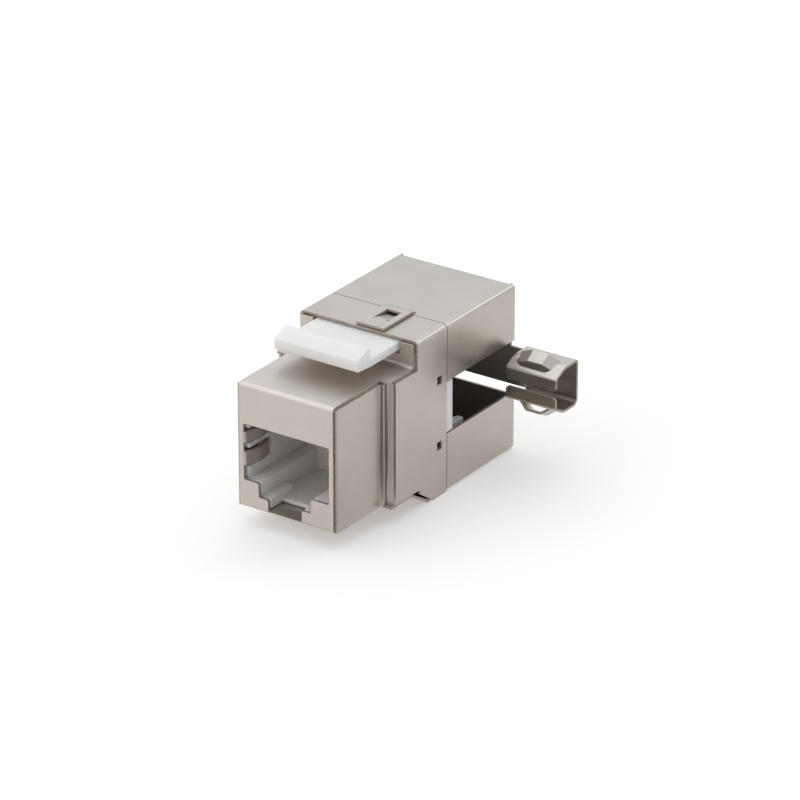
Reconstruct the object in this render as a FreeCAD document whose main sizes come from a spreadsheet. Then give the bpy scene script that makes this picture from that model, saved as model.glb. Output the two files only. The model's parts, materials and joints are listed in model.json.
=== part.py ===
import FreeCAD, Part
import Sketcher
import math
import os
import re

# Keystone jack, shielded, with a modular port in front and a cable clip behind.
# The pieces are drawn with X across, Y from the front face to the rear and Z up
# from the underside of the front section. Every piece is then lowered by the
# height of the port's axis, so the finished origin is the centre of the port
# opening in the front face. All sizes are in millimetres.

SIZES = {
    # folded sheet
    "sheet": 0.32,
    "bend": 0.5,
    "top_bend": 0.6,
    "sheet_gap": 0.06,
    # outer form
    "front_wide": 14.4,
    "front_high": 16.41,
    "body_wide": 17.2,
    "body_high": 19.82,
    "belly": 2.45,
    "step_at": 9.1,
    "step_run": 1.3,
    "step_bend": 0.4,
    "ledge_wide": 0.4,
    "ledge_slope": 0.25,
    "shoulder_at": 9.7,
    "riser_at": 14.6,
    "riser_bend": 0.4,
    "hood_at": 15.1,
    "seam_at": 21.35,
    "seam_gap": 0.12,
    "deep": 36.23,
    # port opening in the face
    "port_wide": 12.5,
    "port_floor": 3.65,
    "port_high": 7.45,
    "key_shift": -0.25,
    "key_wide": 7.7,
    "key_floor": 1.8,
    "tab_slot_wide": 4.95,
    "port_corner": 0.3,
    # shield springs at the sides of the port
    "spring_deep": 4.8,
    "spring_bulge": 1.0,
    "spring_crest": 2.5,
    "spring_low": 1.85,
    "spring_low_high": 1.8,
    "spring_up": 4.85,
    "spring_up_high": 1.4,
    # underside of the front shield
    "sole_drop": 0.25,
    "sole_drop_from": 6.8,
    "sole_drop_run": 2.0,
    "sole_side": 0.1,
    "ramp_from": 13.9,
    "ramp_to": 17.6,
    "ramp_bend": 0.6,
    # latch window of the front shield
    "window_wide": 12.8,
    "sill_gap": 0.35,
    # side wall of the body shield
    "wall_front": 0.3,
    "wall_ramp_from": 14.9,
    "wall_ramp_to": 18.45,
    "catch_window_at": 19.3,
    "catch_window_long": 1.0,
    "catch_window_high": 1.1,
    "catch_margin": 0.1,
    # rear cover
    "mouth_low": 5.3,
    "mouth_high": 12.3,
    "rear_bend": 0.55,
    "rear_gap_low": 5.05,
    "flap_inset": 0.9,
    "catch_reach": 2.45,
    "catch_sink": 0.35,
    "catch_bar_high": 1.4,
    # tab of the rear cover on the hood
    "tab_left": -0.5,
    "tab_wide": 4.0,
    "tab_inset": 0.25,
    "tab_lift": 0.37,
    "tab_window_left": 0.5,
    "tab_window_wide": 2.1,
    "tab_window_from": 17.4,
    "tab_window_to": 20.5,
    "tongue_gap": 0.15,
    "tongue_dip": 0.1,
    # arm and cable clip at the rear
    "arm_low": 6.45,
    "arm_high": 11.5,
    "clip_left": 10.7,
    "clip_long": 7.2,
    "clip_deep": 5.05,
    "clip_bottom": 6.05,
    "clip_top": 12.15,
    "clip_lip_up": 9.55,
    "clip_brow": 11.2,
    "clip_brow_run": 2.0,
    "clip_lip_low": 8.65,
    "clip_chin": 7.05,
    "clip_chin_run": 1.8,
    "clip_wing_round": 2.6,
    "clip_heel_round": 0.95,
    "lip_corner": 0.5,
    # bridges lanced out of the clip's two wings
    "bridge_wide": 5.0,
    "bridge_crown": 2.2,
    "bridge_lift": 1.15,
    "bridge_long": 1.65,
    "bridge_slot_bow": 0.6,
    "bridge_slot_run": 0.9,
    "bridge_slot_round": 0.8,
    "top_bridge_heel": 0.65,
    "top_bridge_at": 2.05,
    "top_bridge_fall": 0.28,
    "top_bridge_tilt": 34,
    "toe_bridge_at": 1.85,
    "toe_bridge_rise": 0.27,
    "toe_bridge_tilt": 26,
    # housing
    "fit": 0.08,
    "face_gap": 0.38,
    "housing_floor": 0.45,
    "cavity_wide": 11.8,
    "cavity_deep": 12.05,
    "key_stop": 5.3,
    "key_pit": 0.95,
    "tab_floor_from": 3.0,
    "spring_room": 0.3,
    "spring_room_to": 5.4,
    "housing_back": 17.5,
    "insert_front": 2.3,
    "seat_fall": 0.35,
    # latch
    "latch_wide": 12.2,
    "latch_front": 6.2,
    "latch_nose_rise": 0.2,
    "latch_nose_high": 1.5,
    "latch_crest_at": 8.35,
    "latch_crest": 1.45,
    "latch_back": 8.85,
    "arm_gap": 0.15,
    "arm_thick": 1.1,
    "pivot_at": 15.6,
    "latch_round": 0.3,
    "root_flat": 0.04,
    # contacts of the port
    "contact_pitch": 1.02,
    "wire_wide": 0.42,
    "wire_thick": 0.3,
    "wire_level": 1.5,
    "wire_turn": 0.45,
    "wire_shoulder": 4.6,
    "wire_nose": 3.3,
    "wire_nose_dip": 0.15,
    "wire_tip": 13.0,
    "wire_tip_level": 3.55,
    "groove_side": 0.07,
    "insert_wide": 10.6,
    "insert_top": 2.25,
    "insert_under": 0.05,
    "insert_foot": 3.0,
    "comb_deep": 1.2,
    # circuit board
    "core_side": 0.95,
    "board_at": 17.6,
    "board_thick": 1.2,
    "board_foot": 0.6,
    "board_head": 2.2,
    "hole_play": 0.15,
    # terminal block
    "block_foot": 0.65,
    "block_head": 0.7,
    "block_face": 22.75,
    "cheek_inset": 0.15,
    "row_inset": 0.3,
    "row_deep": 4.4,
    "row_side": 0.2,
    "wire_slot": 0.9,
    "wire_slot_mouth": 1.8,
    "wire_slot_deep": 3.6,
    "blade_wide": 2.6,
    "blade_thick": 0.5,
    "blade_back": 0.5,
    "blade_fork": 0.36,
    "blade_fork_deep": 3.0,
    "blade_tail": 0.9,
}

TERMINALS = 4
CONTACTS = 8

# Widths and places that several pieces share, each worked out from the sizes.
WALL_IN = "front_wide / 2 - sheet"
SHELL_IN = "body_wide / 2 - sheet"
HOOD_IN = "body_high - sheet"
WALL_TOP = "front_high - sheet - sheet_gap"
PORT_TOP = "port_floor + port_high"
PORT_AXIS = "port_floor + port_high / 2"
ARM_TOP = f"{HOOD_IN} - arm_gap"
ARM_UNDER = f"{ARM_TOP} - arm_thick"
WIRE_TOP = f"{PORT_TOP} + wire_level + wire_thick / 2"
WIRE_UNDER = f"{PORT_TOP} + wire_level - wire_thick / 2"
NOSE_LEVEL = f"{PORT_TOP} - wire_nose_dip"
INSERT_TOP = f"{PORT_TOP} + insert_top"
INSERT_UNDER = f"{PORT_TOP} + insert_under"
INSERT_FOOT = "port_floor + insert_foot"
CORE_HALF = f"{SHELL_IN} - core_side"
TERMINAL_PITCH = f"({CORE_HALF}) * 2 / {TERMINALS}"
FIRST_TERMINAL = f"-({TERMINAL_PITCH}) * {(TERMINALS - 1) / 2}"
FIRST_CONTACT = f"-contact_pitch * {(CONTACTS - 1) / 2}"
BLOCK_LOW = "block_foot - belly"
BLOCK_TOP = f"{HOOD_IN} - block_head"
ROW_TOPS = {"low": "mouth_low - row_inset", "up": BLOCK_TOP}
ROW_FEET = {"low": BLOCK_LOW, "up": "mouth_high + row_inset"}
BLADE_LEVELS = {row: f"({ROW_FEET[row]} + {ROW_TOPS[row]}) / 2" for row in ROW_TOPS}
CATCH_LEVELS = {"low": "mouth_low - catch_bar_high - catch_margin", "up": "mouth_high + 2 * catch_margin"}

doc = FreeCAD.newDocument("keystone_jack")
cells = doc.addObject("Spreadsheet::Sheet", "Sizes")
for row, (alias, size) in enumerate(SIZES.items(), start=1):
    cells.set(f"A{row}", alias)
    cells.set(f"B{row}", str(size))
    cells.setAlias(f"B{row}", alias)
doc.recompute()

TURNS = {
    "XY": FreeCAD.Rotation(),
    "XZ": FreeCAD.Rotation(FreeCAD.Vector(1, 0, 0), 90),
    "YZ": FreeCAD.Rotation(FreeCAD.Vector(1, 1, 1), 120),
}
DEPTH_AXES = {
    "XY": FreeCAD.Vector(0, 0, 1),
    "XZ": FreeCAD.Vector(0, 1, 0),
    "YZ": FreeCAD.Vector(1, 0, 0),
}
DEPTH_LETTERS = {"XY": "z", "XZ": "y", "YZ": "x"}


def bound(formula):
    """Point every size named in a formula at its cell."""
    def cell(word):
        return "Sizes." + word.group() if word.group() in SIZES else word.group()
    return re.sub(r"[a-z_]+", cell, str(formula))


def value(formula):
    """The number that a formula gives now."""
    return float(cells.evalExpression(bound(formula)))


def tie(item, path, formula):
    """Bind a property or a constraint to a formula."""
    item.setExpression(path, bound(formula))


def tie_point(sketch, geometry, end, across, up):
    """Hold a point of a sketch at two formulas."""
    for kind, formula in (("DistanceX", across), ("DistanceY", up)):
        index = sketch.addConstraint(Sketcher.Constraint(kind, -1, 1, geometry, end, value(formula)))
        tie(sketch, f"Constraints[{index}]", formula)


def draw(sketch, corners, closed=True):
    """Straight runs through corners (across, up, radius), the radius being optional."""
    places = [FreeCAD.Vector(value(corner[0]), value(corner[1]), 0) for corner in corners]
    radii = [value(corner[2]) if len(corner) > 2 else 0 for corner in corners]
    count = len(corners)
    starts = list(places)
    ends = list(places)
    arcs = {}
    for index in range(count):
        if not radii[index]:
            continue
        before = (places[index - 1] - places[index]).normalize()
        after = (places[(index + 1) % count] - places[index]).normalize()
        half = before.getAngle(after) / 2
        setback = radii[index] / math.tan(half)
        starts[index] = places[index] + after * setback
        ends[index] = places[index] + before * setback
        middle = (before + after).normalize()
        centre = places[index] + middle * (radii[index] / math.sin(half))
        arcs[index] = (centre, before.cross(after).z < 0)
    runs = count if closed else count - 1
    lines = []
    for index in range(runs):
        line = Part.LineSegment(starts[index], ends[(index + 1) % count])
        lines.append(sketch.addGeometry(line))
    for index in range(count):
        first = index == 0 and not closed
        last = index == count - 1 and not closed
        if first:
            tie_point(sketch, lines[0], 1, *corners[0][:2])
            continue
        if last:
            tie_point(sketch, lines[-1], 2, *corners[-1][:2])
            continue
        arriving = lines[index - 1]
        leaving = lines[index % runs]
        if index not in arcs:
            sketch.addConstraint(Sketcher.Constraint("Coincident", arriving, 2, leaving, 1))
            tie_point(sketch, leaving, 1, *corners[index][:2])
            continue
        centre, left_turn = arcs[index]
        come = ends[index] - centre
        go = starts[index] - centre
        angles = [math.atan2(come.y, come.x), math.atan2(go.y, go.x)]
        if not left_turn:
            angles.reverse()
        circle = Part.Circle(centre, FreeCAD.Vector(0, 0, 1), radii[index])
        arc = sketch.addGeometry(Part.ArcOfCircle(circle, *angles))
        come_end, go_end = (1, 2) if left_turn else (2, 1)
        sketch.addConstraint(Sketcher.Constraint("Tangent", arriving, 2, arc, come_end))
        sketch.addConstraint(Sketcher.Constraint("Tangent", arc, go_end, leaving, 1))
        radius = sketch.addConstraint(Sketcher.Constraint("Radius", arc, radii[index]))
        tie(sketch, f"Constraints[{radius}]", corners[index][2])
        corner = sketch.addGeometry(Part.Point(places[index]), True)
        sketch.addConstraint(Sketcher.Constraint("PointOnObject", corner, 1, arriving))
        sketch.addConstraint(Sketcher.Constraint("PointOnObject", corner, 1, leaving))
        tie_point(sketch, corner, 1, *corners[index][:2])


def box_corners(left, low, right, high, radius=None):
    """The four corners of an upright rectangle."""
    corners = [(left, low), (right, low), (right, high), (left, high)]
    if radius is None:
        return corners
    return [corner + (radius,) for corner in corners]


def free_sketch(name, plane, start):
    """A sketch on a main plane, moved along its depth axis to start."""
    sketch = doc.addObject("Sketcher::SketchObject", name)
    sketch.Placement = FreeCAD.Placement(FreeCAD.Vector(), TURNS[plane])
    tie(sketch, f"Placement.Base.{DEPTH_LETTERS[plane]}", start)
    return sketch


def extrude(name, base, plane, length):
    """Give a flat outline its depth along the plane's own axis."""
    solid = doc.addObject("Part::Extrusion", name)
    solid.Base = base
    solid.DirMode = "Custom"
    solid.Dir = DEPTH_AXES[plane]
    solid.Solid = True
    tie(solid, "LengthFwd", length)
    return solid


def strip(name, plane, start, length, corners, thick="sheet"):
    """A folded strip: the line of one face is drawn, thickened to its right and extruded.

    The front plane is seen from its own front, so there the thickness is negative."""
    path = free_sketch(name + "_path", plane, start)
    draw(path, corners, closed=False)
    section = doc.addObject("Part::Offset2D", name + "_section")
    section.Source = path
    section.Fill = True
    section.Mode = "Skin"
    tie(section, "Value", f"-({thick})" if plane == "XZ" else thick)
    return extrude(name, section, plane, length)


def slab(name, plane, start, length, *outlines):
    """A closed outline, or several side by side, extruded."""
    sketch = free_sketch(name + "_outline", plane, start)
    for corners in outlines:
        draw(sketch, corners)
    return extrude(name, sketch, plane, length)


def join(name, *pieces):
    """Fuse pieces of one folded sheet."""
    union = doc.addObject("Part::MultiFuse", name)
    union.Shapes = list(pieces)
    union.Refine = True
    return union


def cut(name, base, *tools):
    """Cut holes and notches."""
    tool = tools[0] if len(tools) == 1 else join(name + "_tools", *tools)
    result = doc.addObject("Part::Cut", name)
    result.Base = base
    result.Tool = tool
    result.Refine = True
    return result


def new_body(name):
    """A body for one moulded or stamped piece."""
    body = doc.addObject("PartDesign::Body", name)
    body.Label = name
    return body


def body_sketch(body, name, plane, start):
    """A sketch on one of the body's own origin planes, moved along the depth axis to start."""
    sketch = body.newObject("Sketcher::SketchObject", name)
    role = f"{plane}_Plane"
    sketch.AttachmentSupport = [(item, "") for item in body.Origin.OriginFeatures if item.Role == role]
    sketch.MapMode = "FlatFace"
    sign = "-" if plane == "XZ" else ""
    tie(sketch, "AttachmentOffset.Base.z", f"{sign}({start})")
    return sketch


def pad(body, name, plane, start, length, *outlines):
    """Add material from start over a length along the plane's depth axis."""
    sketch = body_sketch(body, name + "_sketch", plane, start)
    for corners in outlines:
        draw(sketch, corners)
    feature = body.newObject("PartDesign::Pad", name)
    feature.Profile = sketch
    feature.Reversed = plane == "XZ"
    tie(feature, "Length", length)
    body.Tip = feature
    return feature


def pocket(body, name, plane, start, length, *outlines):
    """Remove material from start over a length along the plane's depth axis."""
    sketch = body_sketch(body, name + "_sketch", plane, start)
    for corners in outlines:
        draw(sketch, corners)
    feature = body.newObject("PartDesign::Pocket", name)
    feature.Profile = sketch
    feature.Reversed = plane != "XZ"
    tie(feature, "Length", length)
    body.Tip = feature
    return feature


def row_pattern(body, name, feature, count, pitch):
    """Repeat a pocket or pad along X."""
    pattern = body.newObject("PartDesign::LinearPattern", name)
    pattern.Originals = [feature]
    axis = [item for item in body.Origin.OriginFeatures if item.Role == "X_Axis"]
    pattern.Direction = (axis[0], [""])
    pattern.Occurrences = count
    tie(pattern, "Length", f"({pitch}) * {count - 1}")
    body.Tip = pattern
    return pattern


def mirrored(corners):
    """The same outline on the other side of the centre plane."""
    flipped = [(f"-({corner[0]})",) + tuple(corner[1:]) for corner in corners]
    return flipped[::-1]


def round_corners(name, base, radius, axis, spots):
    """Round the short edges of a sheet that run along one axis at the given spots."""
    doc.recompute()
    size = value(radius)
    others = [letter for letter in "xyz" if letter != axis]
    wanted = [[value(formula) for formula in spot] for spot in spots]
    edges = []
    for index, edge in enumerate(base.Shape.Edges, start=1):
        ends = [vertex.Point for vertex in edge.Vertexes]
        if len(ends) != 2 or any(abs(getattr(ends[0] - ends[1], letter)) > 1e-6 for letter in others):
            continue
        place = [getattr(ends[0], letter) for letter in others]
        if any(math.dist(place, spot) < 1e-3 for spot in wanted):
            edges.append((index, size, size))
    rounded = doc.addObject("Part::Fillet", name)
    rounded.Base = base
    rounded.Edges = edges
    return rounded


def bridge(name, at, level, tilt, heel):
    """A raised bridge lanced out of a wing, and the slot that it leaves.

    The bridge is drawn upright at the origin, then turned about X and moved into
    the wing. Its left foot may reach out by a heel, and one side of the slot bows
    out."""
    left = f"-bridge_wide / 2 - {heel}"
    raised = strip(name, "XZ", "-bridge_long / 2", "bridge_long", [
        (left, "0"),
        ("-bridge_crown / 2", "bridge_lift", "bend"),
        ("bridge_crown / 2", "bridge_lift", "bend"),
        ("bridge_wide / 2", "0"),
    ])
    slot_left = f"{left} + sheet"
    slot_right = "bridge_wide / 2 - sheet"
    side = "bridge_long / 2 + sheet_gap"
    bow = f"-({side}) - bridge_slot_bow"
    slot = slab(name + "_slot", "XY", "-bridge_lift", "2 * bridge_lift", [
        (slot_left, f"-({side})"),
        (f"{slot_left} + bridge_slot_run", bow, "bridge_slot_round"),
        (f"{slot_right} - bridge_slot_run / 2", bow, "bridge_slot_round"),
        (slot_right, f"-({side})"),
        (slot_right, side),
        (slot_left, side),
    ])
    for solid in (raised, slot):
        solid.Placement = FreeCAD.Placement(FreeCAD.Vector(), FreeCAD.Rotation(FreeCAD.Vector(1, 0, 0), 1))
        tie(solid, "Placement.Rotation.Angle", f"({tilt}) * 1 deg")
        tie(solid, "Placement.Base.x", "clip_left + clip_long / 2")
        tie(solid, "Placement.Base.y", at)
        tie(solid, "Placement.Base.z", level)
    return raised, slot


# Front shield: face, top, riser and sole folded from one sheet.
def make_front_shield():
    folds = strip("front_folds", "YZ", "sole_side - body_wide / 2", "body_wide - 2 * sole_side", [
        ("seam_at - sheet_gap", "-belly"),
        ("ramp_to", "-belly", "ramp_bend"),
        ("ramp_from", "-sole_drop", "ramp_bend"),
        ("sole_drop_from + sole_drop_run", "-sole_drop", "ramp_bend"),
        ("sole_drop_from", "0", "ramp_bend"),
        ("0", "0", "bend"),
        ("0", "front_high", "bend"),
        ("riser_at", "front_high", "riser_bend"),
        ("riser_at", f"{HOOD_IN} - sheet_gap"),
    ])
    outside = "body_wide"
    front_edge = f"{WALL_IN} - sheet_gap"
    rear_edge = f"{SHELL_IN} - sheet_gap"
    low = "-belly - sheet"
    narrow = box_corners(front_edge, "-sheet", outside, "shoulder_at")
    trim_front = slab("front_trim", "XY", low, "belly + front_high + 2 * sheet", narrow, mirrored(narrow))
    above = box_corners(rear_edge, "step_at", outside, "seam_at")
    trim_top = slab("top_trim", "XY", "port_floor", "body_high", above, mirrored(above))
    behind = box_corners(rear_edge, "ramp_to + sheet_gap", outside, "seam_at")
    trim_sole = slab("sole_trim", "XY", low, "belly + port_floor", behind, mirrored(behind))
    half_port = "port_wide / 2"
    half_key = "key_wide / 2"
    half_slot = "tab_slot_wide / 2"
    opening = slab("port_cut", "XZ", "-sheet", "bend + 2 * sheet", [
        (f"key_shift - {half_slot}", "sheet"),
        (f"key_shift + {half_slot}", "sheet"),
        (f"key_shift + {half_slot}", "key_floor", "port_corner"),
        (f"key_shift + {half_key}", "key_floor", "port_corner"),
        (f"key_shift + {half_key}", "port_floor", "port_corner"),
        (half_port, "port_floor", "port_corner"),
        (half_port, PORT_TOP, "port_corner"),
        (f"-{half_port}", PORT_TOP, "port_corner"),
        (f"-{half_port}", "port_floor", "port_corner"),
        (f"key_shift - {half_key}", "port_floor", "port_corner"),
        (f"key_shift - {half_key}", "key_floor", "port_corner"),
        (f"key_shift - {half_slot}", "key_floor", "port_corner"),
    ])
    window = slab("latch_window", "XZ", "riser_at - sheet", "3 * sheet",
                  box_corners("-window_wide / 2", f"{ARM_UNDER} - sill_gap", "window_wide / 2", "body_high"))
    sheet = cut("front_blank", folds, trim_front, trim_top, trim_sole, opening, window)
    springs = []
    for height in ("low", "up"):
        start = f"spring_{height}"
        tall = f"spring_{height}_high"
        right = [
            (f"{half_port} + bend", "0"),
            (f"{half_port} - sheet / 2", "0", "bend"),
            (f"{half_port} - spring_bulge", "spring_crest", "2 * spring_bulge"),
            (f"{half_port} - spring_bulge / 3", "spring_deep"),
        ]
        level = f"port_floor + {start}"
        springs.append(strip(f"spring_right_{height}", "XY", level, tall, right))
        springs.append(strip(f"spring_left_{height}", "XY", level, tall, mirrored(right)))
    return join("front_shield", sheet, *springs)


# Body shield: hood and two side walls, which step in towards the face.
def make_body_shield():
    hood = strip("hood", "XZ", "hood_at", "seam_at - hood_at", [
        ("-body_wide / 2", "-belly"),
        ("-body_wide / 2", "body_high", "top_bend"),
        ("body_wide / 2", "body_high", "top_bend"),
        ("body_wide / 2", "-belly"),
    ])
    side = [
        ("body_wide / 2", "hood_at + bend"),
        ("body_wide / 2", "step_at + step_run", "step_bend"),
        ("front_wide / 2 + ledge_wide", "step_at + step_run - ledge_slope", "sheet / 2"),
        ("front_wide / 2 + ledge_wide", "step_at + ledge_slope", "step_bend"),
        ("front_wide / 2", "step_at", "sheet / 2"),
        ("front_wide / 2", "wall_front"),
    ]
    wall_right = strip("wall_right", "XY", "0", WALL_TOP, side)
    wall_left = strip("wall_left", "XY", "0", WALL_TOP, mirrored(side))
    ramp = slab("wall_ramp", "YZ", "-body_wide", "2 * body_wide", [
        ("hood_at - sheet", "-2 * belly"),
        ("wall_ramp_to", "-2 * belly"),
        ("wall_ramp_to", "-belly"),
        ("wall_ramp_from", "0"),
        ("hood_at - sheet", "0"),
    ])
    lift = slab("wall_lift", "YZ", "-body_wide", "2 * body_wide", [
        ("step_at", "-sheet"),
        ("hood_at + bend + sheet", "-sheet"),
        ("hood_at", "sheet - sole_drop"),
        ("step_at", "sheet - sole_drop"),
    ])
    ends = "catch_window_at + catch_window_long"
    windows = slab("catch_windows", "YZ", "-body_wide", "2 * body_wide",
                   *[box_corners("catch_window_at", level, ends, f"{level} + catch_window_high")
                     for level in CATCH_LEVELS.values()])
    key_left = "tab_window_left - tongue_gap"
    key_right = "tab_window_left + tab_window_wide + tongue_gap"
    key = slab("tongue_notch", "XY", HOOD_IN + " - sheet", "3 * sheet",
               box_corners(key_left, "tab_window_from", key_right, "seam_at + sheet"))
    shell = join("shield_shell", hood, wall_right, wall_left)
    return cut("body_shield", shell, ramp, lift, windows, key)


# Rear cover: a folded box with a cable mouth on one side, a tab over the hood,
# catch bars inside the walls, and an arm that ends in the cable clip.
def make_rear_cover():
    front = "seam_at + seam_gap"
    outer = box_corners("-body_wide / 2", "-belly", "body_wide / 2", "body_high", "top_bend")
    inner = box_corners(f"-({SHELL_IN})", "sheet - belly", SHELL_IN, HOOD_IN, "top_bend - sheet")
    wrap = slab("cover_wrap", "XZ", front, f"deep - ({front})", outer, inner)
    mouth = slab("cable_mouth", "YZ", "0", "body_wide",
                 box_corners("seam_at", "mouth_low", "deep + sheet", "mouth_high"))
    flap_half = "body_wide / 2 - top_bend"
    relief = slab("rear_relief", "XZ", "deep - rear_bend - sheet", "rear_bend + 2 * sheet",
                  box_corners(f"-({flap_half})", "-2 * belly", flap_half, "2 * sheet - belly"),
                  box_corners(f"-({flap_half})", "body_high - 2 * sheet", flap_half, "body_high + sheet"))
    box = cut("cover_box", wrap, mouth, relief)
    upper = strip("upper_flap", "YZ", f"-({flap_half})", f"2 * ({flap_half})", [
        ("deep - rear_bend - 2 * sheet", "body_high"),
        ("deep", "body_high", "rear_bend"),
        ("deep", "arm_low"),
    ])
    lower = strip("lower_flap", "YZ", f"-({flap_half})", f"2 * ({flap_half})", [
        ("deep", "rear_gap_low"),
        ("deep", "-belly", "rear_bend"),
        ("deep - rear_bend - 2 * sheet", "-belly"),
    ])
    flap_edge = f"{SHELL_IN} - sheet_gap"
    panel = slab("rear_panel", "XZ", "deep - sheet", "sheet", [
        (f"-({flap_edge})", "arm_low"),
        ("clip_left + bend", "arm_low"),
        ("clip_left + bend", "arm_high"),
        (flap_edge, "arm_high"),
        (flap_edge, "body_high - flap_inset"),
        (f"-({flap_edge})", "body_high - flap_inset"),
    ], box_corners(f"-({flap_edge})", "flap_inset - belly", flap_edge, "rear_gap_low"))
    lip = "deep - clip_deep"
    clip = strip("cable_clip", "YZ", "clip_left", "clip_long", [
        (lip, "clip_lip_up"),
        (lip, "clip_brow", "bend"),
        (f"{lip} + clip_brow_run", "clip_top", "clip_wing_round"),
        ("deep", "clip_top", "bend"),
        ("deep", "clip_bottom", "clip_heel_round"),
        (f"{lip} + clip_chin_run", "clip_bottom", "clip_wing_round"),
        (lip, "clip_chin", "bend"),
        (lip, "clip_lip_low"),
    ])
    ends = ["clip_left", "clip_left + clip_long"]
    rounded = round_corners("clip_with_lips", clip, "lip_corner", "y", [
        (across, level) for across in ends for level in ("clip_lip_up", "clip_lip_low")])
    top_bridge = bridge("top_bridge", f"{lip} + top_bridge_at", "clip_top - top_bridge_fall",
                        "top_bridge_tilt", "top_bridge_heel")
    toe_bridge = bridge("toe_bridge", f"{lip} + toe_bridge_at", "clip_bottom + toe_bridge_rise",
                        "180 - toe_bridge_tilt", "0")
    slotted = cut("clip_slotted", rounded, top_bridge[1], toe_bridge[1])
    tab = strip("hood_tab", "YZ", "tab_left", "tab_wide", [
        ("hood_at + tab_inset", "body_high + tab_lift"),
        ("seam_at + sheet / 4", "body_high + tab_lift", "bend"),
        ("seam_at + 3 * sheet", "body_high", "bend"),
        ("seam_at + 5 * sheet", "body_high"),
    ])
    hole = slab("tab_window", "XY", HOOD_IN, "tab_lift + 2 * sheet",
                box_corners("tab_window_left", "tab_window_from",
                            "tab_window_left + tab_window_wide", "tab_window_to"))
    tab_cut = cut("tab_with_window", tab, hole)
    tongue = strip("tab_tongue", "YZ", "tab_window_left + tongue_gap", "tab_window_wide - 2 * tongue_gap", [
        ("tab_window_from - sheet", "body_high + tab_lift"),
        ("tab_window_from + sheet", "body_high + tab_lift", "bend"),
        ("tab_window_to - sheet", "body_high - tongue_dip"),
    ])
    bars = []
    bar_line = f"{SHELL_IN} - sheet_gap - catch_sink"
    bar = [
        ("body_wide / 2", "seam_at + 4 * sheet"),
        ("body_wide / 2", "seam_at + 3 * sheet", "bend"),
        (bar_line, "seam_at + sheet / 2", "bend"),
        (bar_line, "seam_at - catch_reach"),
    ]
    for height, level in CATCH_LEVELS.items():
        bars.append(strip(f"catch_right_{height}", "XY", level, "catch_bar_high", bar))
        bars.append(strip(f"catch_left_{height}", "XY", level, "catch_bar_high", mirrored(bar)))
    return join("rear_cover", box, upper, lower, panel, slotted, top_bridge[0], toe_bridge[0],
                tab_cut, tongue, *bars)


# Housing: port cavity, key ways and the seat of the latch in one moulding.
def make_housing():
    body = new_body("jack_housing")
    half_front = f"{WALL_IN} - fit"
    half_wide = f"{SHELL_IN} - fit"
    under_top = "front_high - sheet - fit"
    face = "sheet + face_gap"
    nose = box_corners(f"-({half_front})", "housing_floor", half_front, under_top)
    pad(body, "housing_nose", "XZ", face, f"step_at + step_run + sheet - ({face})", nose)
    wide_from = "step_at + step_run + sheet"
    mid = box_corners(f"-({half_wide})", "housing_floor", half_wide, under_top)
    pad(body, "housing_middle", "XZ", wide_from, f"riser_at - fit - ({wide_from})", mid)
    behind_riser = "riser_at + sheet + fit"
    pad(body, "housing_waist", "XZ", "riser_at - 2 * fit", f"{behind_riser} - riser_at + 3 * fit",
        box_corners(f"-({half_wide})", "housing_floor", half_wide, under_top))
    pad(body, "housing_rear", "XZ", behind_riser, f"housing_back - ({behind_riser})", [
        (f"-({half_wide})", "housing_floor"),
        (half_wide, "housing_floor"),
        (half_wide, f"{HOOD_IN} - sheet", "top_bend"),
        (f"-({half_wide})", f"{HOOD_IN} - sheet", "top_bend"),
    ])
    pocket(body, "port_cavity", "XZ", "0", "cavity_deep",
           box_corners("-cavity_wide / 2", "port_floor", "cavity_wide / 2", PORT_TOP))
    key_left = "key_shift - key_wide / 2"
    key_right = "key_shift + key_wide / 2"
    slot_left = "key_shift - tab_slot_wide / 2"
    slot_right = "key_shift + tab_slot_wide / 2"
    pocket(body, "key_way", "XZ", "0", "key_stop", box_corners(key_left, "key_floor", key_right, PORT_AXIS))
    pocket(body, "key_pit_way", "XZ", "key_stop", "cavity_deep - key_stop",
           box_corners(key_left, "key_pit", key_right, PORT_AXIS))
    pocket(body, "tab_way", "XZ", "0", "key_stop + fit",
           box_corners(slot_left, "key_pit", slot_right, PORT_AXIS))
    pocket(body, "tab_mouth", "XZ", "0", "tab_floor_from",
           box_corners(slot_left, "0", slot_right, PORT_AXIS))
    insert_half = "insert_wide / 2 + fit"
    pocket(body, "insert_way", "XZ", "insert_front", "housing_back",
           box_corners(f"-({insert_half})", f"{INSERT_UNDER} - fit", insert_half, f"{INSERT_TOP} + fit"))
    pocket(body, "comb_way", "XZ", "cavity_deep - fit", "housing_back",
           box_corners(f"-({insert_half})", f"{INSERT_FOOT} - fit", insert_half, INSERT_TOP))
    rooms = []
    for height in ("low", "up"):
        low = f"port_floor + spring_{height} - spring_room"
        high = f"port_floor + spring_{height} + spring_{height}_high + spring_room"
        rooms.append([("0", low), ("spring_room_to", low, "spring_room * 2"),
                      ("spring_room_to", high, "spring_room * 2"), ("0", high)])
    pocket(body, "spring_rooms", "YZ", "-front_wide / 2", "front_wide", *rooms)
    seat_floor = f"{ARM_UNDER} - fit"
    groove_back = "pivot_at + arm_thick / 2 + fit"
    pocket(body, "latch_seat", "YZ", "-window_wide", "2 * window_wide", [
        ("riser_at", "body_high"),
        ("riser_at", f"{seat_floor} - seat_fall"),
        ("pivot_at - fit", seat_floor),
        (groove_back, seat_floor, "arm_thick / 2"),
        (groove_back, "body_high"),
    ])
    return body


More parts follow.
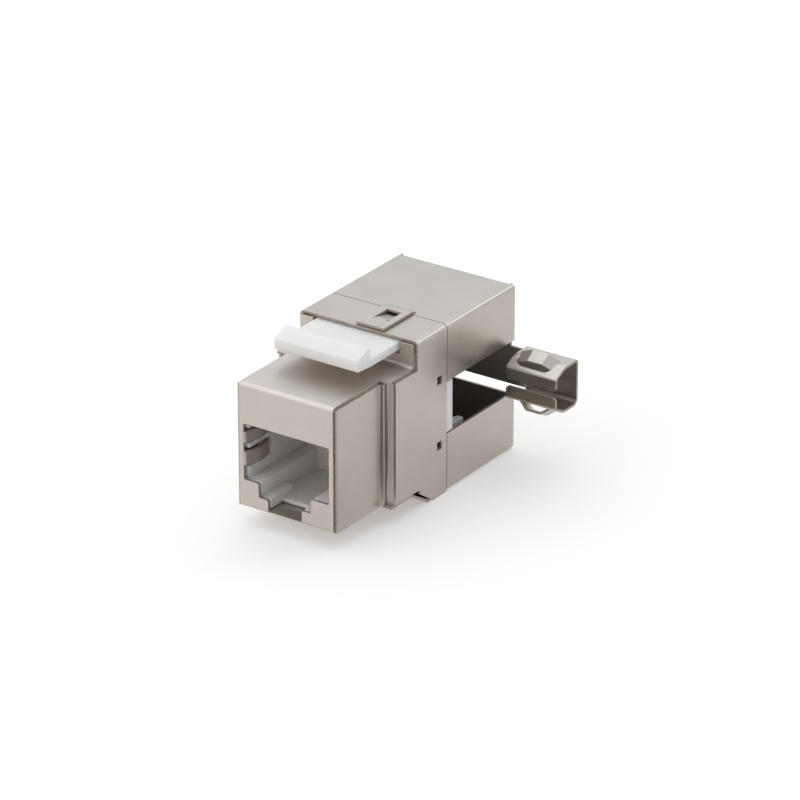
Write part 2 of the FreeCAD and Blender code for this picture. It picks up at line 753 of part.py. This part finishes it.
# Latch: a stiff blade with a ramped head, free to swing at its rounded root.
def make_latch():
    body = new_body("latch_arm")
    nose = f"{ARM_UNDER} + latch_nose_rise"
    crest = f"{ARM_TOP} + latch_crest"
    root = "pivot_at + arm_thick / 2"
    root_round = "(arm_thick - root_flat) / 2"
    pad(body, "latch_profile", "YZ", "-latch_wide / 2", "latch_wide", [
        ("latch_front", nose, "latch_round"),
        ("latch_back", ARM_UNDER, "latch_round"),
        (root, ARM_UNDER, root_round),
        (root, ARM_TOP, root_round),
        ("latch_back", ARM_TOP, "latch_round"),
        ("latch_back", crest, "latch_round"),
        ("latch_crest_at", crest, "latch_round"),
        ("latch_front", f"{nose} + latch_nose_high", "latch_round"),
    ])
    return body


# Contact insert: carries the eight spring contacts and guides their free ends.
def make_insert():
    body = new_body("contact_insert")
    half = "insert_wide / 2"
    nose = "wire_nose - wire_thick - fit"
    groove_floor = f"{WIRE_UNDER} - groove_side"
    toe = f"{INSERT_FOOT} + 3 * wire_turn"
    hollow = "wire_nose + wire_thick + fit"
    pad(body, "insert_profile", "YZ", f"-({half})", "insert_wide", [
        ("housing_back - fit", INSERT_FOOT),
        ("housing_back - fit", INSERT_TOP),
        ("wire_shoulder - fit", INSERT_TOP, "wire_turn"),
        (nose, f"{PORT_TOP} + wire_level - wire_turn"),
        (nose, NOSE_LEVEL),
        ("wire_nose + wire_turn", f"{NOSE_LEVEL} - wire_thick - fit"),
        ("wire_shoulder + wire_turn", INSERT_UNDER),
        ("cavity_deep + fit", INSERT_UNDER),
        ("cavity_deep + fit", INSERT_FOOT),
    ])
    first = f"{FIRST_CONTACT} - wire_wide / 2 - groove_side"
    groove = pocket(body, "lead_groove", "YZ", first, "wire_wide + 2 * groove_side", [
        ("housing_back", groove_floor),
        ("housing_back", "body_high"),
        ("0", "body_high"),
        ("0", toe),
        (f"{hollow} + wire_turn", toe),
        (f"{hollow} + wire_turn", NOSE_LEVEL),
        (f"{hollow} + 2 * groove_side", INSERT_UNDER),
        ("wire_shoulder + wire_thick / 2", groove_floor),
    ])
    row_pattern(body, "lead_grooves", groove, CONTACTS, "contact_pitch")
    slot = pocket(body, "comb_slot", "YZ", first, "wire_wide + 2 * groove_side",
                  box_corners("cavity_deep", f"{INSERT_FOOT} + fit", "cavity_deep + comb_deep", INSERT_UNDER))
    row_pattern(body, "comb_slots", slot, CONTACTS, "contact_pitch")
    return body


# Spring contacts: flat wires that pass over the insert, turn round its nose and
# slope back down into the port.
def make_contact(number):
    centre = f"contact_pitch * {number - (CONTACTS + 1) / 2}"
    return strip(f"contact_wire_{number}", "YZ", f"{centre} - wire_wide / 2", "wire_wide", [
        ("board_at + board_thick - fit", WIRE_UNDER),
        ("wire_shoulder", WIRE_UNDER, "wire_turn"),
        ("wire_nose", NOSE_LEVEL, "wire_turn"),
        ("wire_tip", "port_floor + wire_tip_level"),
    ], "wire_thick")


# Circuit board: joins the spring contacts to the terminals.
def make_board():
    body = new_body("circuit_board")
    pad(body, "board_plate", "XZ", "board_at", "board_thick",
        box_corners(f"-({CORE_HALF})", "board_foot - belly", CORE_HALF, f"{HOOD_IN} - board_head", "bend"))
    first = FIRST_CONTACT
    lead = pocket(body, "lead_hole", "XZ", "board_at - fit", "board_thick + 2 * fit",
                  box_corners(f"{first} - wire_wide / 2 - hole_play", f"{WIRE_UNDER} - hole_play",
                              f"{first} + wire_wide / 2 + hole_play", f"{WIRE_TOP} + hole_play"))
    row_pattern(body, "lead_holes", lead, CONTACTS, "contact_pitch")
    first = FIRST_TERMINAL
    side = "blade_tail / 2 + hole_play"
    tall = "blade_thick / 2 + hole_play"
    for row, level in BLADE_LEVELS.items():
        hole = pocket(body, f"tail_hole_{row}", "XZ", "board_at - fit", "board_thick + 2 * fit",
                      box_corners(f"{first} - ({side})", f"{level} - ({tall})",
                                  f"{first} + {side}", f"{level} + {tall}"))
        row_pattern(body, f"tail_holes_{row}", hole, TERMINALS, TERMINAL_PITCH)
    return body


# Terminal block: a base with two rows of slotted towers and a channel between
# them for the cable.
def make_block():
    body = new_body("terminal_block")
    front = "board_at + board_thick + fit"
    pad(body, "block_base", "XZ", front, f"block_face - ({front})",
        box_corners(f"-({CORE_HALF})", BLOCK_LOW, CORE_HALF, BLOCK_TOP))
    pad(body, "block_cheeks", "XZ", "seam_at + fit", "block_face - seam_at - fit",
        box_corners(f"-({SHELL_IN} - fit)", "mouth_low + cheek_inset",
                    "body_wide / 2 - fit", "mouth_high - cheek_inset"))
    row_half = f"{CORE_HALF} - row_side"
    pad(body, "block_rows", "XZ", "block_face - fit", "row_deep + fit",
        *[box_corners(f"-({row_half})", ROW_FEET[row], row_half, ROW_TOPS[row]) for row in ROW_TOPS])
    first = FIRST_TERMINAL
    crest = "block_face + row_deep"
    slot = pocket(body, "wire_slot_cut", "XY", f"{BLOCK_LOW} - fit", f"{BLOCK_TOP} - ({BLOCK_LOW}) + 2 * fit", [
        (f"{first} - wire_slot / 2", f"{crest} - wire_slot_deep"),
        (f"{first} + wire_slot / 2", f"{crest} - wire_slot_deep"),
        (f"{first} + wire_slot / 2", f"{crest} - wire_slot_mouth / 2"),
        (f"{first} + wire_slot_mouth / 2", f"{crest} + fit"),
        (f"{first} - wire_slot_mouth / 2", f"{crest} + fit"),
        (f"{first} - wire_slot / 2", f"{crest} - wire_slot_mouth / 2"),
    ])
    row_pattern(body, "wire_slots", slot, TERMINALS, TERMINAL_PITCH)
    blade_half = "blade_wide / 2 + groove_side"
    tall = "blade_thick / 2 + groove_side"
    for row, level in BLADE_LEVELS.items():
        seat = pocket(body, f"blade_seat_{row}", "XZ", f"{front} - fit", f"{crest} - ({front}) + 2 * fit",
                      box_corners(f"{first} - ({blade_half})", f"{level} - ({tall})",
                                  f"{first} + {blade_half}", f"{level} + {tall}"))
        row_pattern(body, f"blade_seats_{row}", seat, TERMINALS, TERMINAL_PITCH)
    return body


# Terminal blades: forked contacts that cut into the wires, with a tail in the board.
def make_blade(number):
    level = BLADE_LEVELS["up" if number > TERMINALS else "low"]
    place = (number - 1) % TERMINALS - (TERMINALS - 1) / 2
    centre = f"({TERMINAL_PITCH}) * ({place})"
    crest = "block_face + row_deep - blade_back"
    shoulder = "board_at + board_thick + 2 * fit"
    body = new_body(f"terminal_blade_{number}")
    pad(body, f"blade_{number}", "XY", f"{level} - blade_thick / 2", "blade_thick", [
        (f"{centre} - blade_tail / 2", "board_at"),
        (f"{centre} + blade_tail / 2", "board_at"),
        (f"{centre} + blade_tail / 2", shoulder),
        (f"{centre} + blade_wide / 2", shoulder),
        (f"{centre} + blade_wide / 2", crest),
        (f"{centre} + blade_fork", crest),
        (f"{centre} + blade_fork / 2", f"{crest} - blade_fork"),
        (f"{centre} + blade_fork / 2", f"{crest} - blade_fork_deep"),
        (f"{centre} - blade_fork / 2", f"{crest} - blade_fork_deep"),
        (f"{centre} - blade_fork / 2", f"{crest} - blade_fork"),
        (f"{centre} - blade_fork", crest),
        (f"{centre} - blade_wide / 2", crest),
        (f"{centre} - blade_wide / 2", shoulder),
        (f"{centre} - blade_tail / 2", shoulder),
    ])
    return body


pieces = [make_front_shield(), make_body_shield(), make_rear_cover(), make_housing(), make_latch(),
          make_insert(), make_board(), make_block()]
pieces += [make_contact(number) for number in range(1, CONTACTS + 1)]
pieces += [make_blade(number) for number in range(1, 2 * TERMINALS + 1)]
for piece in pieces:
    tie(piece, "Placement.Base.z", f"-({PORT_AXIS})")
doc.recompute()

faults = []
for item in doc.Objects:
    if "Invalid" in item.State or "Error" in item.State:
        faults.append(f"{item.Name}: {item.State}")
for piece in pieces:
    shape = piece.Shape
    if shape.isNull() or not shape.isValid():
        faults.append(f"{piece.Label}: bad shape")
    elif len(shape.Solids) != 1:
        faults.append(f"{piece.Label}: {len(shape.Solids)} solids")
for body in doc.findObjects("PartDesign::Body"):
    steps = [item for item in body.Group if hasattr(item, "BaseFeature") and item.BaseFeature]
    for item in steps:
        if abs(item.Shape.Volume - item.BaseFeature.Shape.Volume) < 1e-6:
            faults.append(f"{item.Name}: changes nothing")
if faults:
    raise RuntimeError("; ".join(faults))

os.makedirs("parts", exist_ok=True)
for piece in pieces:
    piece.Shape.exportStep(f"parts/{piece.Label}.step")
    bounds = piece.Shape.BoundBox
    low = (bounds.XMin, bounds.YMin, bounds.ZMin)
    high = (bounds.XMax, bounds.YMax, bounds.ZMax)
    print(piece.Label, round(piece.Shape.Volume, 2), "mm3", [round(edge, 2) for edge in low + high])
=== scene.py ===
import json
import math

import bmesh
import bpy
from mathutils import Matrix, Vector


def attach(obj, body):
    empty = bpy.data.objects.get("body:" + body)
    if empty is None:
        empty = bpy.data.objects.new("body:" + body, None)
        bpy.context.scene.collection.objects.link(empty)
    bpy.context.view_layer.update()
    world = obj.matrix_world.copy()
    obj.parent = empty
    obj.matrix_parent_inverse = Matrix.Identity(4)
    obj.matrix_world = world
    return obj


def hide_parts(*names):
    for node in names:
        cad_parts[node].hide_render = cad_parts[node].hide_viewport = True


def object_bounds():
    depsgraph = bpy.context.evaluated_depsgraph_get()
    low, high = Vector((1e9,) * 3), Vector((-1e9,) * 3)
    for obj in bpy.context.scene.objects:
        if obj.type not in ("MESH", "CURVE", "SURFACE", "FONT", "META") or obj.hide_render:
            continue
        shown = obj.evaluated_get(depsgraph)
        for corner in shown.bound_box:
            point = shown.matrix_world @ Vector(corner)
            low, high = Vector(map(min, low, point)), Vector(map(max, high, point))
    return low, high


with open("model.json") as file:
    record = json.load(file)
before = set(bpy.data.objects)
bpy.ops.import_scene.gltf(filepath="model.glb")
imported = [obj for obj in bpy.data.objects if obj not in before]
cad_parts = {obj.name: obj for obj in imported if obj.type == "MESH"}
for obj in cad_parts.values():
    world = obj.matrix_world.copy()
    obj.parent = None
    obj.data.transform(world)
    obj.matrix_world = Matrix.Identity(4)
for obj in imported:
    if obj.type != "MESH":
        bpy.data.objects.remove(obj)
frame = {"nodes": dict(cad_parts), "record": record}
cad_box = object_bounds()
nodes = frame["nodes"]
record = frame["record"]
slot_of = {part["node"]: part["material_slot"] for part in record["subparts"]}
body_of = {node: body for body, members in record["behaviour"]["bodies"].items()
           for node in members}

MM = 0.001

# How the cut edges of the folded sheets are told from their faces
SHEET = 0.32 * MM
WIDEST_CUT_EDGE = 1.05  # times the sheet's thickness
LONGEST_BEND_LINE = 1.25  # times the sheet's thickness, across a cut edge
BEND_ANGLE = math.radians(40)

# Easing of the edges
SHARP_ANGLE = math.radians(35)
FLAT_ANGLE = math.radians(0.4)
SAME_POINT = 0.0005 * MM
USUAL_EASING = 0.6  # of the width that the cover's front edge on top gets
SHIELD_WIDTH, MOULDING_WIDTH, LATCH_WIDTH = 0.09 * MM, 0.08 * MM, 0.12 * MM

# Places on the object
SEAM_BOTTOM = 12.1 * MM
SEAM_FRONT, SEAM_REAR = 21.3 * MM, 21.5 * MM
CLIP_LEFT = 10.6 * MM
STRAIGHT_AHEAD = -0.98  # y of the normal of a face that looks forwards

# Places of a shield's finishes in its list of materials, after the plating: the cut edges, the folds in a
# lighter plating as painted highlight, and the clip's lips in a darker one as painted shade
CUT_EDGE, FOLD, LIP = 1, 2, 3

# Stage
FLOOR_SIZE = 3.0
FLOOR_GAP = 0.02 * MM
FLOOR_COLOUR = (0.88, 0.88, 0.88, 1)
FLOOR_GLOW = 0.26
CARD_LIFT = 0.1 * MM
# Colour of the card's painted shade, seen only in reflections
CARD_SHADE_COLOUR = (0.16, 0.145, 0.13, 1)
CARD_CORNERS = [(9.5, 0.0), (18.0, 13.0), (110.0, 13.0), (110.0, -90.0), (24.0, -90.0), (13.0, -12.0)]
SKY_LIGHT, SKY_SEEN = 0.55, 1.0
SKY_LIGHT_COLOUR, SKY_SEEN_COLOUR = (0.96, 0.96, 0.96), (0.86, 0.92, 0.97)
LAMPS_AIM = Vector((0.002, 0.018, 0.0))

# Camera, fitted to the edges in the photograph; lengths in mm
AZIMUTH, ELEVATION = math.radians(34.479), math.radians(24.909)
CAMERA_AIM = Vector((5.418, 16.0, 3.687))
CAMERA_DISTANCE = 569.504
FOCAL_LENGTH, SENSOR_WIDTH = 213.186, 36.0


def add_object(name, data):
    """An object in the scene."""
    thing = bpy.data.objects.new(name, data)
    bpy.context.scene.collection.objects.link(thing)
    return thing


# Materials

def bare_tree(owner, output_kind):
    """The node tree of a material or the world, with nothing but an output."""
    owner.use_nodes = True
    tree = owner.node_tree
    tree.nodes.clear()
    return tree, tree.nodes.new(output_kind)


def new_material(name):
    """A material with a plain shader."""
    material = bpy.data.materials.new(name)
    tree, output = bare_tree(material, "ShaderNodeOutputMaterial")
    shader = tree.nodes.new("ShaderNodeBsdfPrincipled")
    tree.links.new(shader.outputs[0], output.inputs[0])
    return material, tree, shader


def noise(tree, scale, detail, stretch=(1, 1, 1), roughness=0.5):
    """Noise in the object's own space, its scale in features per metre."""
    where = tree.nodes.new("ShaderNodeTexCoord")
    mapping = tree.nodes.new("ShaderNodeMapping")
    mapping.inputs["Scale"].default_value = stretch
    texture = tree.nodes.new("ShaderNodeTexNoise")
    texture.inputs["Scale"].default_value = scale
    texture.inputs["Detail"].default_value = detail
    texture.inputs["Roughness"].default_value = roughness
    tree.links.new(where.outputs["Object"], mapping.inputs["Vector"])
    tree.links.new(mapping.outputs["Vector"], texture.inputs["Vector"])
    return texture.outputs["Fac"]


def spread(tree, source, low, high, dark=0.3, light=0.7):
    """Map a factor from dark..light to low..high."""
    node = tree.nodes.new("ShaderNodeMapRange")
    node.inputs["From Min"].default_value = dark
    node.inputs["From Max"].default_value = light
    node.inputs["To Min"].default_value = low
    node.inputs["To Max"].default_value = high
    tree.links.new(source, node.inputs["Value"])
    return node.outputs["Result"]


def blend(tree, factor, first, second):
    """Mix two colours, each a tuple or a socket."""
    node = tree.nodes.new("ShaderNodeMix")
    node.data_type = "RGBA"
    tree.links.new(factor, node.inputs["Factor"])
    for value, socket in ((first, node.inputs[6]), (second, node.inputs[7])):
        if isinstance(value, tuple):
            socket.default_value = value + (1.0,)
        else:
            tree.links.new(value, socket)
    return node.outputs[2]


def maths(tree, kind, first, second):
    """One arithmetic node, each input a number or a socket."""
    node = tree.nodes.new("ShaderNodeMath")
    node.operation = kind
    for value, socket in ((first, node.inputs[0]), (second, node.inputs[1])):
        if isinstance(value, (int, float)):
            socket.default_value = value
        else:
            tree.links.new(value, socket)
    return node.outputs[0]


def bump(tree, shader, height, strength, distance):
    """Turn a height into relief on the shader."""
    node = tree.nodes.new("ShaderNodeBump")
    node.inputs["Strength"].default_value = strength
    node.inputs["Distance"].default_value = distance
    tree.links.new(height, node.inputs["Height"])
    tree.links.new(node.outputs[0], shader.inputs["Normal"])


def shade(colour, share):
    """A colour made lighter or darker, at most 1."""
    return tuple(min(1.0, part * share) for part in colour)


def plated(name, colour, rough, metal=1.0):
    """Satin tin plating: fine rolled grain, faint clouds, fine pits and small scuffs."""
    material, tree, shader = new_material(name)
    clouds = noise(tree, 260.0, 4.0)
    grain = noise(tree, 7000.0, 3.0, (1, 1.6, 1), 0.65)
    scuffs = noise(tree, 1500.0, 5.0, (1, 6, 1), 0.7)
    cloudy = blend(tree, spread(tree, clouds, 0.0, 1.0), shade(colour, 0.965), shade(colour, 1.03))
    pitted = blend(tree, spread(tree, grain, 0.55, 0.0, 0.36, 0.5), cloudy, shade(colour, 0.90))
    tree.links.new(pitted, shader.inputs["Base Color"])
    shader.inputs["Metallic"].default_value = metal
    patchy = spread(tree, clouds, rough, rough + 0.03)
    scuffed = spread(tree, scuffs, 0.0, 0.05, 0.45, 0.8)
    tree.links.new(maths(tree, "ADD", patchy, scuffed), shader.inputs["Roughness"])
    bump(tree, shader, grain, 0.05, 0.012 * MM)
    return material


def raw_edge(name, colour):
    """Sheared sheet edge: browner, rougher and grainy."""
    material, tree, shader = new_material(name)
    grain = noise(tree, 5200.0, 4.0)
    grainy = blend(tree, spread(tree, grain, 0.0, 1.0), shade(colour, 0.6), colour)
    tree.links.new(grainy, shader.inputs["Base Color"])
    shader.inputs["Metallic"].default_value = 0.35
    shader.inputs["Roughness"].default_value = 0.5
    bump(tree, shader, grain, 0.5, 0.03 * MM)
    return material


def plastic(name, colour, rough, cloudy=0.03, through=0.15):
    """Moulded plastic with a faint texture and uneven gloss, which lets some light through."""
    material, tree, shader = new_material(name)
    clouds = noise(tree, 400.0, 3.0)
    grain = noise(tree, 12000.0, 2.0)
    mottled = blend(tree, spread(tree, clouds, 0.0, 1.0), shade(colour, 1 - cloudy), colour)
    tree.links.new(mottled, shader.inputs["Base Color"])
    tree.links.new(spread(tree, clouds, rough - 0.04, rough + 0.05), shader.inputs["Roughness"])
    shader.inputs["Subsurface Weight"].default_value = through
    shader.inputs["Subsurface Radius"].default_value = (2.0 * MM, 1.8 * MM, 1.6 * MM)
    shader.inputs["Subsurface Scale"].default_value = 1.0
    bump(tree, shader, grain, 0.15, 0.02 * MM)
    return material


PLATE = (0.50, 0.45, 0.405)
# The same plating painted lighter on the front shield, to lift the shade on the riser and under the
# latch: painted light
FACE_PLATE_PAINTED_LIGHTER = (0.555, 0.498, 0.456)
finishes = {
    "front_plate": plated("front_plating_painted_lighter", FACE_PLATE_PAINTED_LIGHTER, 0.42),
    "body_plate": plated("body_plating", PLATE, 0.30),
    "cover_plate": plated("cover_plating", PLATE, 0.30),
    "housing_plastic": plastic("housing_moulding", (0.76, 0.745, 0.73), 0.5, 0.03, 0.4),
    "latch_plastic": plastic("latch_moulding", (0.88, 0.865, 0.85), 0.38, 0.015, 0.8),
    "insert_plastic": plastic("insert_moulding", (0.55, 0.55, 0.55), 0.5),
    "board_laminate": plastic("board_mask", (0.05, 0.16, 0.08), 0.35, 0.2),
    "block_plastic": plastic("block_moulding", (0.88, 0.88, 0.88), 0.45),
    "contact_gold": plated("contact_gilding", (0.80, 0.58, 0.26), 0.24),
    "blade_metal": plated("blade_tinning", (0.66, 0.63, 0.58), 0.3),
}
edge_finish = raw_edge("sheared_edge", (0.52, 0.44, 0.365))
# Lighter, smoother plating for the eased corners and the seam's cut faces: a painted highlight
fold_highlight_finish = plated("fold_painted_highlight", (0.78, 0.73, 0.67), 0.22, 0.6)
# Darker plating for the forward-facing fronts of the clip's lips: painted shade
lip_shade_finish = plated("lip_painted_shade", (0.31, 0.275, 0.24), 0.2)


# Pieces

def is_cut_edge(face, sheet):
    """Whether a face is the narrow side of a sheet: square to what lies along it.

    Where the sheet is bent, such faces meet at small angles over lines hardly
    longer than the sheet's thickness."""
    outline = sum(edge.calc_length() for edge in face.edges)
    if 2 * face.calc_area() / outline > sheet * WIDEST_CUT_EDGE:
        return False
    for edge in face.edges:
        smooth = edge.calc_face_angle(math.pi) < BEND_ANGLE
        if smooth and edge.calc_length() > sheet * LONGEST_BEND_LINE:
            return False
    return True


def is_clip_lip(face):
    """Whether a face is the front of one of the cable clip's lips."""
    return face.normal.y < STRAIGHT_AHEAD and face.calc_center_median().x > CLIP_LEFT


def at_seam(part):
    """Whether an edge or face is on the top seam, where the cover meets the hood."""
    return all(vert.co.z > SEAM_BOTTOM and SEAM_FRONT < vert.co.y < SEAM_REAR
               for vert in part.verts)


def easing(node, edge):
    """How far an edge is eased: from 0, not at all, to 1."""
    if edge.calc_face_angle(0.0) < SHARP_ANGLE:
        return 0.0
    if at_seam(edge):
        return {"body_shield": 0.0, "rear_cover": 1.0}.get(node, USUAL_EASING)
    return USUAL_EASING


def eased(node, width, sheet=None):
    """Copy a node with its sharp edges eased, and stand it in for the node.

    Where a sheet's thickness is given, its cut edges get the raw finish, the
    eased corners a lighter plating as painted highlight, and the clip's
    forward-facing lips a darker one as painted shade."""
    mesh = nodes[node].data.copy()
    mesh.materials.clear()
    mesh.materials.append(finishes[slot_of[node]])
    if sheet:
        for finish in (edge_finish, fold_highlight_finish, lip_shade_finish):
            mesh.materials.append(finish)
    form = bmesh.new()
    form.from_mesh(mesh)
    bmesh.ops.remove_doubles(form, verts=form.verts, dist=SAME_POINT)
    bmesh.ops.dissolve_limit(form, angle_limit=FLAT_ANGLE, verts=form.verts, edges=form.edges,
                             delimit={"NORMAL"})
    if sheet:
        for face in form.faces:
            if is_cut_edge(face, sheet):
                # The seam's cut faces take the lighter fold plating: a painted highlight over the shade
                # in the gap
                face.material_index = FOLD if at_seam(face) else CUT_EDGE
            elif is_clip_lip(face):
                # Faces of the clip that look straight forwards get the darker plating, painted shade
                face.material_index = LIP
    weight = form.edges.layers.float.new("bevel_weight_edge")
    for edge in form.edges:
        edge[weight] = easing(node, edge)
        edge.smooth = edge[weight] > 0 or edge.calc_face_angle(0.0) < SHARP_ANGLE
    form.to_mesh(mesh)
    form.free()
    piece = add_object(node + "_finished", mesh)
    rounding = piece.modifiers.new("eased", "BEVEL")
    rounding.width = width / USUAL_EASING
    rounding.segments = 2
    rounding.limit_method = "WEIGHT"
    rounding.use_clamp_overlap = True
    if sheet:
        # The eased corners take the lighter fold plating, a painted highlight
        rounding.material = FOLD
    shading = piece.modifiers.new("shading", "WEIGHTED_NORMAL")
    shading.mode = "FACE_AREA"
    shading.weight = 100
    shading.keep_sharp = True
    for face in mesh.polygons:
        face.use_smooth = True
    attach(piece, body_of[node])
    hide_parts(node)


for node in ("front_shield", "body_shield", "rear_cover"):
    eased(node, SHIELD_WIDTH, SHEET)
for node in ("jack_housing", "terminal_block", "contact_insert"):
    eased(node, MOULDING_WIDTH)
eased("latch_arm", LATCH_WIDTH)
for node, source in nodes.items():
    source.data.materials.clear()
    source.data.materials.append(finishes[slot_of[node]])


# Floor and world

def seen_rays(tree):
    """1 for rays of the camera, reflections and glass, 0 for those that gather light."""
    ray = tree.nodes.new("ShaderNodeLightPath")
    return maths(tree, "MAXIMUM", ray.outputs["Is Camera Ray"],
                 maths(tree, "MAXIMUM", ray.outputs["Is Glossy Ray"], ray.outputs["Is Transmission Ray"]))


floor_level = cad_box[0][2] - FLOOR_GAP
bpy.ops.mesh.primitive_plane_add(size=FLOOR_SIZE, location=(0, 0, floor_level))
floor = bpy.context.object
floor.name = "studio_floor"
floor_material = bpy.data.materials.new("studio_paper")
tree, output = bare_tree(floor_material, "ShaderNodeOutputMaterial")
paper = tree.nodes.new("ShaderNodeBsdfDiffuse")
paper.inputs["Color"].default_value = FLOOR_COLOUR
glow = tree.nodes.new("ShaderNodeEmission")
tree.links.new(maths(tree, "MULTIPLY", seen_rays(tree), FLOOR_GLOW), glow.inputs["Strength"])
both = tree.nodes.new("ShaderNodeAddShader")
tree.links.new(paper.outputs[0], both.inputs[0])
tree.links.new(glow.outputs[0], both.inputs[1])
tree.links.new(both.outputs[0], output.inputs[0])
floor.data.materials.append(floor_material)

world = bpy.data.worlds.new("studio")
bpy.context.scene.world = world
tree, output = bare_tree(world, "ShaderNodeOutputWorld")
sky = tree.nodes.new("ShaderNodeBackground")
seen = seen_rays(tree)
tree.links.new(spread(tree, seen, SKY_LIGHT, SKY_SEEN, 0.0, 1.0), sky.inputs["Strength"])
tree.links.new(blend(tree, seen, SKY_LIGHT_COLOUR, SKY_SEEN_COLOUR), sky.inputs["Color"])
tree.links.new(sky.outputs[0], output.inputs[0])


# Lamps and the dark card

def softbox(name, place, size, power, colour):
    """A square area lamp that faces the object, its place and size in metres."""
    lamp = bpy.data.lights.new(name, "AREA")
    lamp.shape = "SQUARE"
    lamp.size = size
    lamp.energy = power
    lamp.color = colour
    holder = add_object(name, lamp)
    holder.location = place
    holder.rotation_euler = (LAMPS_AIM - Vector(place)).to_track_quat("-Z", "Y").to_euler()


softbox("top_softbox", (-0.12, 0.08, 0.40), 0.65, 0.90, (0.96, 0.985, 1.0))
softbox("front_softbox", (-0.25, -0.40, 0.25), 0.48, 0.60, (1.0, 0.98, 0.96))
softbox("rim_softbox", (0.21, 0.40, 0.27), 0.2, 0.17, (1.0, 1.0, 1.0))

# The card lies on the floor at the front right. It is seen only in reflections, and
# gives the metal there something dark to reflect: a painted reflection of the floor's shade beside the
# object.
card_mesh = bpy.data.meshes.new("dark_card")
card_mesh.from_pydata([(x * MM, y * MM, floor_level + CARD_LIFT) for x, y in CARD_CORNERS], [],
                      [tuple(range(len(CARD_CORNERS)))])
card = add_object("dark_card", card_mesh)
card_material, _, shader = new_material("painted_shade_card")
shader.inputs["Base Color"].default_value = CARD_SHADE_COLOUR
shader.inputs["Roughness"].default_value = 1.0
card_mesh.materials.append(card_material)
card.visible_camera = False
card.visible_diffuse = False
card.visible_transmission = False
card.visible_shadow = False


# Camera

camera_data = bpy.data.cameras.new("camera")
camera = add_object("camera", camera_data)
level = math.cos(ELEVATION)
back = Vector((math.sin(AZIMUTH) * level, -math.cos(AZIMUTH) * level, math.sin(ELEVATION)))
camera.location = CAMERA_AIM * MM + back * CAMERA_DISTANCE * MM
camera.rotation_euler = (-back).to_track_quat("-Z", "Y").to_euler()
camera_data.sensor_width = SENSOR_WIDTH
camera_data.lens = FOCAL_LENGTH
camera_data.clip_start = 0.01
camera_data.clip_end = 10.0
bpy.context.scene.camera = camera
bpy.context.scene.view_settings.view_transform = "Standard"
